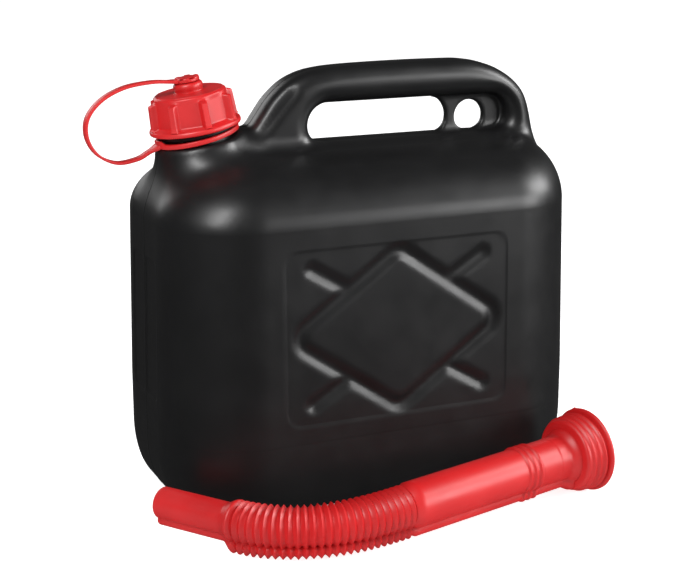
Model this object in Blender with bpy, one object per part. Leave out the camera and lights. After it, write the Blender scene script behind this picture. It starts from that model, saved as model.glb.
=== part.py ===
"""A five litre jerry can for fuel: a blow-moulded can with its handle, a screw cap with a seal, the
strap that ties the cap to the neck, and a bendable pouring spout lying in front of the can.

Metres, +Z up. The origin is the middle of the can's flat base, +X runs from the neck end to the far
end, and -Y is the face that the spout lies in front of.
"""

from math import acos, asin, cos, pi, radians, sin

import bmesh
import bpy
from mathutils import Matrix, Vector

GAP = 0.0003  # between pieces that touch
OVERLAP = 0.002  # how far a cutter reaches past the face that it cuts

# Facets of the round shapes
CORNER_STEPS = 5
BOTTOM_STEPS = 4
SHOULDER_STEPS = 6
THREAD_STEPS = 16
BEVEL_STEPS = 2
SLOT_STEPS = 6
WEB_STEPS = 8
HOLE_STEPS = 20
NECK_STEPS = 32
BORE_STEPS = 24
RING_STEPS = 40
BAND_STEPS = 3
TUBE_STEPS = 14
VENT_STEPS = 8
EIGHT_STEPS = (18, 8)
CENTRELINE_STEPS = 120

# Can: a rounded block whose walls lean in a little, with a roof that narrows towards the handle
LENGTH = 0.265
WIDTH = 0.147
CORNER = 0.052
CORNER_SHARE = 0.96  # of half the width, the most that a corner's radius takes
DRAFT = 0.02
DRAFT_START = 0.0655
BOTTOM_HEIGHT = 0.035
BOTTOM_INSET = 0.014
BOTTOM_INSET_Y = 0.008  # on the two long sides
SHOULDER_Z = 0.1675
ROOF_Z = 0.2045
ROOF_HALF_WIDTH = 0.015
ROOF_LEFT_X = -0.075
ROOF_RIGHT_X = 0.1085
WALL = 0.002

# Handle: a rounded frame in the XZ plane, with a thin web that carries a round hanging hole
HANDLE_HALF_WIDTH = 0.015
HANDLE_ROUNDING = 0.010
WEB_HALF_THICKNESS = 0.0022
HANDLE_OUTLINE = (
    (-0.090, 0.1935), (-0.066, 0.2155), (-0.054, 0.2340), (-0.040, 0.2450), (-0.020, 0.2505),
    (0.020, 0.2520), (0.060, 0.2525), (0.088, 0.2490), (0.1075, 0.2385), (0.1175, 0.2245),
    (0.1240, 0.2055), (0.1280, 0.1835), (0.120, 0.1705), (0.000, 0.1755),
)
SLOT_Z = 0.2167
SLOT_LEFT_X = -0.017
SLOT_RIGHT_X = 0.0520
SLOT_RADIUS = 0.0130
POCKET_RIGHT_X = 0.0915
HOLE_X = 0.0813
HOLE_Z = 0.2155
HOLE_RADIUS = 0.0102
HANDLE_BORE = 0.0048
HANDLE_LINE = ((-0.062, 0.1815), (-0.050, 0.2135), (-0.030, 0.2355), (0.000, 0.2407), (0.060, 0.2410),
               (0.090, 0.2380), (0.1055, 0.2305), (0.1115, 0.2165), (0.1140, 0.2005), (0.1150, 0.1815))

# Neck and cap: heights along their axis are counted from the foot of the thread
NECK_AT = (-0.0977, 0.0, 0.2202)
NECK_TILT = radians(9.4)
TURRET_PROFILE = ((0.0300, -0.0460), (0.0278, -0.0240), (0.0262, -0.0125), (0.0252, -0.0092))
TURRET_TOP = -0.0082
TURRET_EDGE = 0.0014
COLLAR_RADIUS = 0.0198
BEAD_RADIUS = 0.0222
BEAD_SPAN = (-0.0040, -0.0022)
NECK_RADIUS = 0.0168
NECK_TOP = 0.0160
NECK_BORE = 0.0150
BORE_START = -0.0102
LUG_COUNT = 8
LUG_SIZE = (0.0032, 0.0030, 0.0016)

# Thread, the same helix on the neck and in the cap
LEAD = 0.005
THREAD_TURNS = 1.5
THREAD_START = 0.0040
THREAD_WIDTH = (0.0020, 0.0010)
THREAD_ROOT = 0.0006  # how deep the ridge sits in its wall
THREAD_FADE = 2  # steps over which it rises at both ends
THREAD_END_SHARE = 0.25  # of its height, where it starts
NECK_CREST = 0.0182
CAP_BORE = 0.0188
CAP_CREST = 0.0173

# Cap
CAP_FOOT = -0.0012
CAP_HEIGHT = 0.0205
CAP_CROWN = 0.0025
CAP_RADIUS = 0.0211
CAP_FLAT = 0.0213
CAP_FLAT_TOP = 0.0204
CAP_RIDGE = 0.0263
CAP_RIDGE_TOP = 0.0254
CAP_RIDGE_END = 0.0173
CAP_RIDGES = 8
CAP_RIDGE_CHAMFER = 0.0012
CAP_CORNER = 0.0012
CAP_EDGE = 0.0006
CAP_TURNS = ((-0.26, False), (-0.11, False), (-0.07, True), (0.07, True), (0.11, False), (0.26, False),
             (pi / CAP_RIDGES, False))
FLANGE_RADIUS = 0.0270
FLANGE_HEIGHT = 0.0022
KNOB_PROFILE = ((0.0080, 0.0206), (0.0088, 0.0222), (0.0091, 0.0240), (0.0082, 0.0255), (0.0044, 0.0260),
                (0.0044, 0.0284), (0.0054, 0.0286), (0.0050, 0.0290))
SEAL_RADIUS = 0.0182
SEAL_THICKNESS = 0.0012

# Strap
RING_SPAN = (-0.0073, -0.0051)
RING_RADII = (0.0202, 0.0242)
TAB_SIZE = (0.0020, 0.0080, 0.0050)
TAB_REACH = 0.0006  # how far the tab stands out of its ring
KNOB_RING_SPAN = (0.0263, 0.0281)
KNOB_RING_RADII = (0.0047, 0.0067)
BAND_WIDTH = 0.0065
BAND_THICKNESS = 0.0017
BAND_LINE = ((-0.1091, 0.2462), (-0.1240, 0.2466), (-0.1396, 0.2443), (-0.1530, 0.2380), (-0.1614, 0.2283),
             (-0.1622, 0.2170), (-0.1564, 0.2070), (-0.1455, 0.2016), (-0.1335, 0.2024), (-0.1222, 0.2077))

# Spout: distances along it are counted from the mouth of its collar towards the nozzle
SPOUT_AT = (0.1102, -0.1045, 0.0250)
SPOUT_HEADING = radians(191.3)
SPOUT_SLOPE = radians(1.85)
VENT_LEAN = radians(12)
COLLAR_PROFILE = ((0.0000, 0.0247), (0.0022, 0.0247), (0.0030, 0.0234), (0.0060, 0.0236), (0.0072, 0.0226),
                  (0.0100, 0.0228), (0.0112, 0.0220), (0.0140, 0.0221), (0.0168, 0.0221), (0.0184, 0.0204),
                  (0.0240, 0.0134))
COLLAR_DEPTH = 0.0160
COLLAR_BORE = 0.0192
SPOUT_SEAL_RADII = (0.0120, 0.0185)
TUBE_END = 0.1372
TUBE_RADIUS = 0.0132
VENT_RADIUS = 0.0042
VENT_OFFSET = 0.0136
TUBE_RING_AT = 0.0470
TUBE_RING_PITCH = 0.0042
TUBE_RINGS = 3
TUBE_RING_PROFILE = ((-0.0016, 0), (-0.0008, 0.0008), (0.0008, 0.0008), (0.0016, 0))
BELLOWS_LENGTH = 0.098
BELLOWS_PIECES = 5
FOLDS_PER_PIECE = 5
FOLD_DEPTH = 0.0019
VENT_FOLD_SHARE = 0.7  # of the fold's depth, on the vent's side
BELLOWS_BORE_STEPS = 4
BELLOWS_VENT_BORE = 0.0022
BELLOWS_CREST = (0.0127, 0.0119)
VENT_CREST = 0.0052
BELLOWS_VENT_OFFSET = 0.01275
BEND_TOTAL = radians(67.7)
BEND_POWER = 1.56
NOZZLE_CONE = 0.0090
NOZZLE_LENGTH = 0.0547
NOZZLE_RADIUS = 0.0091
NOZZLE_VENT_RADIUS = 0.0034
NOZZLE_VENT_OFFSET = 0.0094
SPOUT_WALL = 0.0013
WEB_HALF_WIDTH = 0.0010

BLACK_PLASTIC = ("black_polyethylene", (0.011, 0.011, 0.012), 0.42)
RED_PLASTIC = ("red_polyethylene", (0.62, 0.012, 0.014), 0.38)
SEAL_RUBBER = ("seal_rubber", (0.03, 0.03, 0.03), 0.75)


# ---------------------------------------------------------------- helpers

def material(name, colour, roughness):
    made = bpy.data.materials.new(name)
    made.use_nodes = True
    shader = made.node_tree.nodes["Principled BSDF"]
    shader.inputs["Base Color"].default_value = (*colour, 1)
    shader.inputs["Roughness"].default_value = roughness
    shader.inputs["Metallic"].default_value = 0
    made.diffuse_color = (*colour, 1)
    return made


def place(name, mesh, finish, frame=None):
    """An object of this mesh, smooth on its round faces, standing in that frame."""
    made = bpy.data.objects.new(name, mesh)
    bpy.context.scene.collection.objects.link(made)
    mesh.shade_smooth()
    mesh.set_sharp_from_angle(angle=radians(35))
    mesh.materials.append(material(name + "_" + finish[0], *finish[1:]))
    made.matrix_world = frame or Matrix.Identity(4)
    return made


def skin(name, rings, finish, frame=None, closed=False):
    """A solid skinned over rings of points, capped at both ends, or joined end to start if closed."""
    shell = bmesh.new()
    loops = [[shell.verts.new(point) for point in ring] for ring in rings]
    pairs = list(zip(loops, loops[1:]))
    if closed:
        pairs.append((loops[-1], loops[0]))
    else:
        shell.faces.new(reversed(loops[0]))
        shell.faces.new(loops[-1])
    count = len(loops[0])
    for low, high in pairs:
        for i in range(count):
            j = (i + 1) % count
            shell.faces.new((low[i], low[j], high[j], high[i]))
    bmesh.ops.recalc_face_normals(shell, faces=shell.faces)
    mesh = bpy.data.meshes.new(name)
    shell.to_mesh(mesh)
    shell.free()
    return place(name, mesh, finish, frame)


def circle(radius, height, steps):
    return [Vector((radius * cos(2 * pi * i / steps), radius * sin(2 * pi * i / steps), height))
            for i in range(steps)]


def turned(name, profile, steps, finish, frame=None, closed=False):
    """A solid turned about Z from its profile of (radius, height) points."""
    return skin(name, [circle(radius, height, steps) for radius, height in profile], finish, frame, closed)


def box(name, size, finish, frame):
    solid = bmesh.new()
    bmesh.ops.create_cube(solid, size=1)
    bmesh.ops.scale(solid, vec=size, verts=solid.verts)
    mesh = bpy.data.meshes.new(name)
    solid.to_mesh(mesh)
    solid.free()
    return place(name, mesh, finish, frame)


def boolean(target, tool, operation):
    """Joins the tool to the target or cuts it away. The tool itself isn't part of the model."""
    modifier = target.modifiers.new(tool.name, "BOOLEAN")
    modifier.operation = operation
    modifier.object = tool
    tool.hide_render = True
    tool.display_type = "WIRE"
    return modifier


def closed_mesh(name, curve):
    """The mesh of a curve, with its caps joined to its sides."""
    guide = bpy.data.objects.new(name + "_curve", curve)
    bpy.context.scene.collection.objects.link(guide)
    bpy.context.view_layer.update()
    mesh = bpy.data.meshes.new_from_object(guide.evaluated_get(bpy.context.evaluated_depsgraph_get()))
    bpy.data.objects.remove(guide)
    solid = bmesh.new()
    solid.from_mesh(mesh)
    bmesh.ops.remove_doubles(solid, verts=solid.verts, dist=1e-6)
    bmesh.ops.recalc_face_normals(solid, faces=solid.faces)
    solid.to_mesh(mesh)
    solid.free()
    return mesh


def plate(name, splines, half_width, rounding, finish):
    """A plate in the XZ plane with rounded edges. The first spline is its outline, the others are holes.
    A spline is a list of points, smooth through all of them, or ('POLY', points)."""
    curve = bpy.data.curves.new(name, "CURVE")
    curve.dimensions = "2D"
    curve.fill_mode = "BOTH"
    curve.extrude = half_width - rounding
    curve.bevel_depth = rounding
    curve.bevel_resolution = BEVEL_STEPS if rounding else 0
    curve.offset = -rounding
    curve.resolution_u = 3
    for kind, points in splines:
        spline = curve.splines.new(kind)
        spline.use_cyclic_u = True
        if kind == "BEZIER":
            spline.bezier_points.add(len(points) - 1)
            for target, (x, z) in zip(spline.bezier_points, points):
                target.co = (x, z, 0)
                target.handle_left_type = target.handle_right_type = "AUTO"
        else:
            spline.points.add(len(points) - 1)
            for target, (x, z) in zip(spline.points, points):
                target.co = (x, z, 0, 1)
    mesh = closed_mesh(name, curve)
    return place(name, mesh, finish, Matrix.Rotation(pi / 2, 4, "X"))


def rod(name, points, radius, finish):
    """A round bar along a smooth line through the points."""
    curve = bpy.data.curves.new(name, "CURVE")
    curve.dimensions = "3D"
    curve.bevel_depth = radius
    curve.bevel_resolution = BEVEL_STEPS
    curve.use_fill_caps = True
    curve.resolution_u = 2
    spline = curve.splines.new("BEZIER")
    spline.bezier_points.add(len(points) - 1)
    for target, point in zip(spline.bezier_points, points):
        target.co = point
        target.handle_left_type = target.handle_right_type = "AUTO"
    return place(name, closed_mesh(name, curve), finish)


def arc(x, z, radius, start, turn, steps):
    """Points of the XZ plane on an arc about (x, z)."""
    angles = [start + turn * i / steps for i in range(steps + 1)]
    return [(x + radius * cos(angle), z + radius * sin(angle)) for angle in angles]


# ---------------------------------------------------------------- can

def plan_ring(left, right, half_y, corner, z):
    """A rectangle with rounded corners at height z."""
    points = []
    for quarter in range(4):
        middle_x = right - corner if quarter in (0, 3) else left + corner
        middle_y = half_y - corner if quarter in (0, 1) else corner - half_y
        for i in range(CORNER_STEPS + 1):
            angle = pi / 2 * (quarter + i / CORNER_STEPS)
            points.append(Vector((middle_x + corner * cos(angle), middle_y + corner * sin(angle), z)))
    return points


def shrunk_ring(ring, shrink):
    """One ring of the block, set in by shrink, its corners rounded as far as its width allows."""
    left, right, half_y, z = ring
    middle = ROOF_Z / 2
    corner = min(CORNER - shrink, CORNER_SHARE * (half_y - shrink))
    return plan_ring(left + shrink, right - shrink, half_y - shrink, corner,
                     middle + (z - middle) * (1 - shrink / middle))


def block_rings(shrink):
    """Rings of the can's block from its base to its roof, set in by shrink all round."""
    half_x = LENGTH / 2
    half_y = WIDTH / 2
    rings = []
    for i in range(BOTTOM_STEPS + 1):
        angle = pi / 2 * i / BOTTOM_STEPS
        share = 1 - sin(angle)
        inset = BOTTOM_INSET * share
        rings.append((inset - half_x, half_x - inset, half_y - BOTTOM_INSET_Y * share,
                      BOTTOM_HEIGHT * (1 - cos(angle))))
    rings.append((-half_x, half_x, half_y, DRAFT_START))
    lean = DRAFT * (SHOULDER_Z - DRAFT_START)
    for i in range(SHOULDER_STEPS + 1):
        angle = pi / 2 * i / SHOULDER_STEPS
        share = cos(angle)
        rings.append((ROOF_LEFT_X + (lean - half_x - ROOF_LEFT_X) * share,
                      ROOF_RIGHT_X + (half_x - lean - ROOF_RIGHT_X) * share,
                      ROOF_HALF_WIDTH + (half_y - lean - ROOF_HALF_WIDTH) * share,
                      SHOULDER_Z + (ROOF_Z - SHOULDER_Z) * sin(angle)))
    return [shrunk_ring(ring, shrink) for ring in rings]


def helix_ridge(name, root, crest, finish, shift, frame):
    """A thread ridge from root to crest radius, tapering away at both ends."""
    steps = int(THREAD_TURNS * THREAD_STEPS)
    rings = []
    for i in range(steps + 1):
        angle = 2 * pi * THREAD_TURNS * i / steps
        fade = min(1, i / THREAD_FADE, (steps - i) / THREAD_FADE)
        top = root + (crest - root) * (THREAD_END_SHARE + (1 - THREAD_END_SHARE) * fade)
        height = THREAD_START + shift + LEAD * angle / (2 * pi)
        rings.append([Vector((radius * cos(angle), radius * sin(angle), height + up)) for radius, up in (
            (root, -THREAD_WIDTH[0] / 2), (top, -THREAD_WIDTH[1] / 2),
            (top, THREAD_WIDTH[1] / 2), (root, THREAD_WIDTH[0] / 2))])
    return skin(name, rings, finish, frame)


def neck_pieces(frame):
    """The turret under the neck and the neck with its bead, as one turned solid, and its lugs and thread."""
    turret_edge = TURRET_PROFILE[-1][0] - TURRET_EDGE
    profile = (*TURRET_PROFILE, (turret_edge, TURRET_TOP), (COLLAR_RADIUS, TURRET_TOP),
               (COLLAR_RADIUS, BEAD_SPAN[0]), (BEAD_RADIUS, BEAD_SPAN[0]), (BEAD_RADIUS, BEAD_SPAN[1]),
               (NECK_RADIUS, BEAD_SPAN[1]), (NECK_RADIUS, NECK_TOP - CAP_EDGE),
               (NECK_RADIUS - CAP_EDGE, NECK_TOP))
    pieces = [turned("neck_turned", profile, NECK_STEPS, BLACK_PLASTIC, frame)]
    reach = BEAD_RADIUS - LUG_SIZE[0] / 2 - GAP
    for i in range(LUG_COUNT):
        turn = Matrix.Rotation(2 * pi * (i + 0.5) / LUG_COUNT, 4, "Z")
        at = frame @ turn @ Matrix.Translation((reach, 0, BEAD_SPAN[0]))
        pieces.append(box("lug_%d" % (i + 1), LUG_SIZE, BLACK_PLASTIC, at))
    root = NECK_RADIUS - THREAD_ROOT
    pieces.append(helix_ridge("neck_thread", root, NECK_CREST, BLACK_PLASTIC, 0, frame))
    return pieces


def handle_frame():
    opening = arc(SLOT_LEFT_X, SLOT_Z, SLOT_RADIUS, pi / 2, pi, SLOT_STEPS)
    opening += arc(POCKET_RIGHT_X, SLOT_Z, SLOT_RADIUS, -pi / 2, pi, SLOT_STEPS)
    return plate("handle_frame", (("BEZIER", HANDLE_OUTLINE), ("POLY", opening)),
                 HANDLE_HALF_WIDTH, HANDLE_ROUNDING, BLACK_PLASTIC)


def handle_web():
    """The thin plate between the grip opening and the right leg, with the round hole."""
    reach = SLOT_RADIUS + HANDLE_ROUNDING
    right = POCKET_RIGHT_X + reach
    concave = arc(SLOT_RIGHT_X, SLOT_Z, SLOT_RADIUS, pi / 2, -pi, WEB_STEPS)
    outline = [(SLOT_RIGHT_X, SLOT_Z + reach), *concave, (SLOT_RIGHT_X, SLOT_Z - reach),
               (right, SLOT_Z - reach), (right, SLOT_Z + SLOT_RADIUS), (POCKET_RIGHT_X, SLOT_Z + reach)]
    hole = arc(HOLE_X, HOLE_Z, HOLE_RADIUS, 0, 2 * pi, HOLE_STEPS)[:-1]
    return plate("handle_web", (("POLY", outline), ("POLY", hole)), WEB_HALF_THICKNESS, 0, BLACK_PLASTIC)


def can(neck_frame):
    """The blown shell: block, handle, web and neck, hollowed through to the neck's mouth and the handle."""
    body = skin("can_body", block_rings(0), BLACK_PLASTIC)
    for piece in [handle_frame(), handle_web(), *neck_pieces(neck_frame)]:
        boolean(body, piece, "UNION")
    inner = [(radius - WALL, height) for radius, height in TURRET_PROFILE[:-1]]
    inner += [(NECK_BORE, BORE_START), (NECK_BORE, NECK_TOP + OVERLAP)]
    line = [(x, 0, z) for x, z in HANDLE_LINE]
    cutters = (skin("cavity", block_rings(WALL), BLACK_PLASTIC),
               turned("neck_bore", inner, BORE_STEPS, BLACK_PLASTIC, neck_frame),
               rod("handle_bore", line, HANDLE_BORE, BLACK_PLASTIC))
    for cutter in cutters:
        boolean(body, cutter, "DIFFERENCE")
    return body


# ---------------------------------------------------------------- cap and strap

def cap_ring(height, flat, ridge):
    """One ring of the eight-sided skirt: flats at that distance from the axis, ridges out to ridge."""
    points = []
    for k in range(CAP_RIDGES):
        start = 2 * pi * k / CAP_RIDGES
        for turn, is_ridge in CAP_TURNS:
            on_flat = min(flat / cos(pi / CAP_RIDGES - abs(turn)), flat + CAP_CORNER)
            radius = ridge if is_ridge else on_flat
            points.append(Vector((radius * cos(start + turn), radius * sin(start + turn), height)))
    return points


def round_ring(radius, height):
    """A round ring with its points at the same angles as those of the skirt."""
    return [point.normalized() * radius + Vector((0, 0, height)) for point in cap_ring(0, 1, 1)]


def cap(frame):
    """Skirt, flange, crown and the knob that the strap snaps onto, with the thread inside the bore."""
    ceiling = CAP_HEIGHT - CAP_CROWN
    inside = ((SEAL_RADIUS / 8, ceiling), (CAP_BORE - CAP_EDGE, ceiling), (CAP_BORE, ceiling - CAP_EDGE),
              (CAP_BORE, CAP_FOOT))
    flange = ((FLANGE_RADIUS - CAP_EDGE, CAP_FOOT), (FLANGE_RADIUS, CAP_FOOT + CAP_EDGE),
              (FLANGE_RADIUS, FLANGE_HEIGHT - CAP_EDGE), (FLANGE_RADIUS - CAP_EDGE, FLANGE_HEIGHT))
    skirt = ((FLANGE_HEIGHT + GAP, CAP_FLAT, CAP_RIDGE),
             (CAP_RIDGE_END - CAP_RIDGE_CHAMFER, CAP_FLAT_TOP, CAP_RIDGE_TOP),
             (CAP_RIDGE_END, CAP_FLAT_TOP, CAP_RIDGE_TOP - CAP_RIDGE_CHAMFER),
             (CAP_RIDGE_END + GAP, CAP_FLAT_TOP, CAP_FLAT_TOP + CAP_CORNER))
    crown = ((CAP_RADIUS, CAP_HEIGHT - CAP_RIDGE_CHAMFER), (CAP_RADIUS - CAP_RIDGE_CHAMFER, CAP_HEIGHT))
    rings = [round_ring(*ring) for ring in (*inside, *flange)]
    rings += [cap_ring(*ring) for ring in skirt]
    rings += [round_ring(*ring) for ring in (*crown, *KNOB_PROFILE)]
    shell = skin("cap_shell", rings, RED_PLASTIC, frame)
    thread = helix_ridge("cap_thread", CAP_BORE + THREAD_ROOT, CAP_CREST, RED_PLASTIC, LEAD / 2, frame)
    boolean(shell, thread, "UNION")
    return shell


def cap_seal(frame):
    top = CAP_HEIGHT - CAP_CROWN - GAP
    profile = ((SEAL_RADIUS, top - SEAL_THICKNESS), (SEAL_RADIUS, top))
    return turned("cap_seal", profile, NECK_STEPS, SEAL_RUBBER, frame)


def ring_profile(radii, span):
    return ((radii[0], span[0]), (radii[1], span[0]), (radii[1], span[1]), (radii[0], span[1]))


def strap(frame):
    """The strap's two rings and the band between them, which bends when the cap is lifted off."""
    rim = ring_profile(RING_RADII, RING_SPAN)
    neck_ring = turned("tether_neck_ring", rim, RING_STEPS, RED_PLASTIC, frame, closed=True)
    tab_x = TAB_SIZE[0] / 2 - RING_RADII[1] - TAB_REACH
    tab_at = frame @ Matrix.Translation((tab_x, 0, RING_SPAN[0] + TAB_SIZE[2] / 2))
    boolean(neck_ring, box("tether_tab", TAB_SIZE, RED_PLASTIC, tab_at), "UNION")
    rim = ring_profile(KNOB_RING_RADII, KNOB_RING_SPAN)
    knob_ring = turned("tether_knob_ring", rim, BORE_STEPS, RED_PLASTIC, frame, closed=True)
    return neck_ring, band(), knob_ring


def smooth_line(points, steps):
    """Points on a smooth line through the given ones (Catmull-Rom)."""
    points = [Vector(p) for p in points]
    points = [2 * points[0] - points[1], *points, 2 * points[-1] - points[-2]]
    line = []
    for a, b, c, d in zip(points, points[1:], points[2:], points[3:]):
        for i in range(steps):
            t = i / steps
            slope = (c - a) * t
            curve = (2 * a - 5 * b + 4 * c - d) * t ** 2 + (3 * b - a - 3 * c + d) * t ** 3
            line.append(b + (slope + curve) / 2)
    line.append(points[-2])
    return line


def band():
    """A flat strip of even width and thickness along its line."""
    line = smooth_line(BAND_LINE, BAND_STEPS)
    half = BAND_WIDTH / 2
    rings = []
    for i, point in enumerate(line):
        along = (line[min(i + 1, len(line) - 1)] - line[max(i - 1, 0)]).normalized()
        across = Vector((-along.y, along.x)) * BAND_THICKNESS / 2
        outer = point + across
        inner = point - across
        corners = ((outer, half), (outer, -half), (inner, -half), (inner, half))
        rings.append([Vector((at.x, y, at.y)) for at, y in corners])
    return skin("tether_band", rings, RED_PLASTIC)


# ---------------------------------------------------------------- spout

def bend_at(distance):
    """How far the centreline has turned, this far into the bellows."""
    share = min(max(distance / BELLOWS_LENGTH, 0), 1)
    return -BEND_TOTAL * share ** BEND_POWER


def centreline(distance):
    """Point and heading on the spout's centreline, in its own flat frame, x along the straight tube."""
    into = distance - TUBE_END
    if into <= 0:
        return Vector((distance, 0, 0)), 0
    point = Vector((TUBE_END, 0, 0))
    step = min(into, BELLOWS_LENGTH) / CENTRELINE_STEPS
    for i in range(CENTRELINE_STEPS):
        turn = bend_at((i + 0.5) * step)
        point += step * Vector((cos(turn), sin(turn), 0))
    turn = bend_at(into)
    return point + max(into - BELLOWS_LENGTH, 0) * Vector((cos(turn), sin(turn), 0)), turn


def section_frame(distance):
    """Frame of a cross-section: its z runs along the spout and its -y points to the vent's side."""
    point, turn = centreline(distance)
    across = Matrix(((0, 0, 1), (1, 0, 0), (0, 1, 0))).to_4x4()
    return (Matrix.Translation(point) @ Matrix.Rotation(turn, 4, "Z") @ across
            @ Matrix.Rotation(VENT_LEAN, 4, "Z"))


def section(distance, points):
    """Places the points of a cross-section on the spout."""
    frame = section_frame(distance)
    return [frame @ point for point in points]


def eight_ring(distance, radius, vent, offset):
    """Outline of the main tube and the vent tube below it, joined by a thin web where they stand apart."""
    main_cut = max((offset ** 2 + radius ** 2 - vent ** 2) / (2 * offset * radius), -1)
    vent_cut = max((offset ** 2 + vent ** 2 - radius ** 2) / (2 * offset * vent), -1)
    main_half = max(acos(min(main_cut, 1)), asin(WEB_HALF_WIDTH / radius)) + radians(2)
    vent_half = pi - max(acos(min(vent_cut, 1)), asin(WEB_HALF_WIDTH / vent)) - radians(6)
    main = arc(0, 0, radius, main_half - pi / 2, 2 * (pi - main_half), EIGHT_STEPS[0])
    below = arc(0, -offset, vent, -pi / 2 - vent_half, 2 * vent_half, EIGHT_STEPS[1])
    return section(distance, [Vector((x, y, 0)) for x, y in main + below])


def bore(name, stations, steps, frame):
    """A bore through the spout. A station is (distance, radius, how far it lies below the main tube)."""
    rings = []
    for distance, radius, below in stations:
        rings.append(section(distance, [point - Vector((0, below, 0)) for point in circle(radius, 0, steps)]))
    return skin(name, rings, RED_PLASTIC, frame)


def round_rings(stations, steps):
    """Round rings about the main tube. A station is (distance, radius)."""
    return [section(distance, circle(radius, 0, steps)) for distance, radius in stations]


def cut_bores(piece, stations, frame):
    """Cuts the main bore and the vent. A station is (distance, main bore, vent bore, vent offset)."""
    main = [(distance, radius, 0) for distance, radius, _, _ in stations]
    vent = [(distance, radius, offset) for distance, _, radius, offset in stations]
    boolean(piece, bore(piece.name + "_bore", main, TUBE_STEPS, frame), "DIFFERENCE")
    boolean(piece, bore(piece.name + "_vent", vent, VENT_STEPS, frame), "DIFFERENCE")


def spout_collar(frame):
    """The collar that screws onto the neck in place of the cap, and the straight tube with its vent."""
    outline = [(COLLAR_DEPTH + OVERLAP, TUBE_RADIUS, VENT_RADIUS, VENT_OFFSET)]
    for i in range(TUBE_RINGS):
        middle = TUBE_RING_AT + i * TUBE_RING_PITCH
        for step, height in TUBE_RING_PROFILE:
            outline.append((middle + step, TUBE_RADIUS + height, VENT_RADIUS + height / 2, VENT_OFFSET))
    outline.append((TUBE_END - GAP, TUBE_RADIUS, VENT_RADIUS, VENT_OFFSET))
    piece = skin("spout_collar", [eight_ring(*ring) for ring in outline], RED_PLASTIC, frame)
    bell = skin("spout_bell", round_rings(COLLAR_PROFILE, RING_STEPS), RED_PLASTIC, frame)
    boolean(piece, bell, "UNION")
    cup = ((-OVERLAP, COLLAR_BORE), (COLLAR_DEPTH, COLLAR_BORE))
    boolean(piece, skin("spout_cup", round_rings(cup, NECK_STEPS), RED_PLASTIC, frame), "DIFFERENCE")
    ends = (COLLAR_DEPTH - OVERLAP, TUBE_END + OVERLAP)
    cut_bores(piece, [(end, TUBE_RADIUS - SPOUT_WALL, VENT_RADIUS - SPOUT_WALL, VENT_OFFSET) for end in ends],
              frame)
    return piece


def spout_seal(frame):
    """The flat rubber ring at the bottom of the collar's cup."""
    deep = COLLAR_DEPTH - GAP
    shallow = deep - SEAL_THICKNESS
    inner, outer = SPOUT_SEAL_RADII
    rings = round_rings(((deep, inner), (deep, outer), (shallow, outer), (shallow, inner)), NECK_STEPS)
    return skin("spout_seal", rings, SEAL_RUBBER, frame, closed=True)


def crest_radius(distance):
    """Radius of the folds' crests at this distance, which narrow towards the nozzle."""
    share = (distance - TUBE_END) / BELLOWS_LENGTH
    return BELLOWS_CREST[0] + (BELLOWS_CREST[1] - BELLOWS_CREST[0]) * share


def bellows_piece(index, frame):
    """A length of the bellows between the roots of two folds, GAP short of its neighbours."""
    length = BELLOWS_LENGTH / BELLOWS_PIECES - GAP
    start = TUBE_END + index * BELLOWS_LENGTH / BELLOWS_PIECES + GAP / 2
    outline = []
    for i in range(2 * FOLDS_PER_PIECE + 1):
        distance = start + length * i / (2 * FOLDS_PER_PIECE)
        depth = 0 if i % 2 else FOLD_DEPTH
        outline.append((distance, crest_radius(distance) - depth, VENT_CREST - VENT_FOLD_SHARE * depth,
                        BELLOWS_VENT_OFFSET))
    name = "spout_bellows_%d" % (index + 1)
    piece = skin(name, [eight_ring(*ring) for ring in outline], RED_PLASTIC, frame)
    stations = []
    for i in range(BELLOWS_BORE_STEPS + 1):
        distance = start - OVERLAP / 2 + (length + OVERLAP) * i / BELLOWS_BORE_STEPS
        stations.append((distance, BELLOWS_CREST[1] - FOLD_DEPTH - SPOUT_WALL, BELLOWS_VENT_BORE,
                         BELLOWS_VENT_OFFSET))
    cut_bores(piece, stations, frame)
    return piece


def spout_nozzle(frame):
    """The plain end of the spout, which narrows from the root of the last fold."""
    start = TUBE_END + BELLOWS_LENGTH + GAP / 2
    crest = BELLOWS_CREST[1]
    cone = start + NOZZLE_CONE
    end = start + NOZZLE_LENGTH
    outline = ((start, crest - FOLD_DEPTH, VENT_CREST - VENT_FOLD_SHARE * FOLD_DEPTH, BELLOWS_VENT_OFFSET),
               (start + FOLD_DEPTH, crest, VENT_CREST, BELLOWS_VENT_OFFSET),
               (cone, NOZZLE_RADIUS, NOZZLE_VENT_RADIUS, NOZZLE_VENT_OFFSET),
               (end, NOZZLE_RADIUS, NOZZLE_VENT_RADIUS, NOZZLE_VENT_OFFSET))
    piece = skin("spout_nozzle", [eight_ring(*ring) for ring in outline], RED_PLASTIC, frame)
    main = NOZZLE_RADIUS - SPOUT_WALL
    vent = NOZZLE_VENT_RADIUS - SPOUT_WALL
    cut_bores(piece, ((start - OVERLAP, main, vent, BELLOWS_VENT_OFFSET),
                      (start + FOLD_DEPTH, main, vent, BELLOWS_VENT_OFFSET),
                      (cone, main, vent, NOZZLE_VENT_OFFSET),
                      (end + OVERLAP, main, vent, NOZZLE_VENT_OFFSET)), frame)
    return piece


def hinge_points():
    """Where the bellows pieces turn: the tangents at both ends of a piece meet there."""
    points = []
    length = BELLOWS_LENGTH / BELLOWS_PIECES
    for index in range(BELLOWS_PIECES):
        start, turn = centreline(TUBE_END + index * length)
        end, end_turn = centreline(TUBE_END + (index + 1) * length)
        chord = end - start
        along = (chord.x * sin(end_turn) - chord.y * cos(end_turn)) / sin(end_turn - turn)
        points.append(start + along * Vector((cos(turn), sin(turn), 0)))
    return points


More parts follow.
